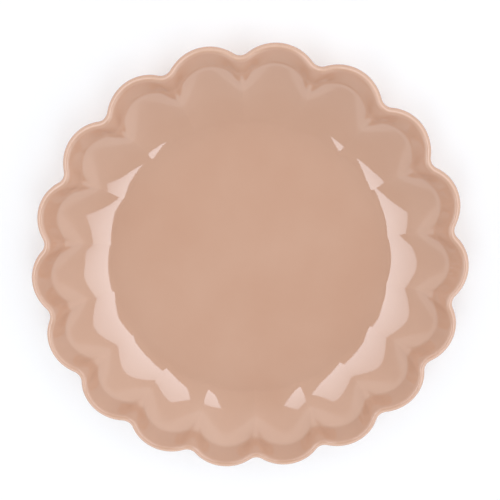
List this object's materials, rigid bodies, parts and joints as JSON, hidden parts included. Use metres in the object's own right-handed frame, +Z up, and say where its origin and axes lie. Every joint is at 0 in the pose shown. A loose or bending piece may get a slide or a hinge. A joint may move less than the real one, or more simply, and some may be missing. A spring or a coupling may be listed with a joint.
{
  "type": "scalloped dessert plate",
  "caption": "Round glazed dessert plate with a scalloped rounded lip, a fluted wall, a flat well and a bare foot ring.",
  "frame": {"origin": "centre of the plate on the surface that it stands on", "axes": "+Z up out of the well; +X through the tip of one lobe"},
  "size_m": [0.2097, 0.2078, 0.026],
  "materials": {
    "clay": "matt fired clay",
    "bare_foot": "matt bare clay, rubbed smooth",
    "face_glaze": "glossy blush glaze",
    "back_glaze": "glossy blush glaze"
  },
  "bodies": {
    "root": {"clay_body": "clay", "foot_ring": "bare_foot", "face_glaze": "face_glaze", "back_glaze": "back_glaze", "base_glaze": "back_glaze"}
  },
  "joints": []
}
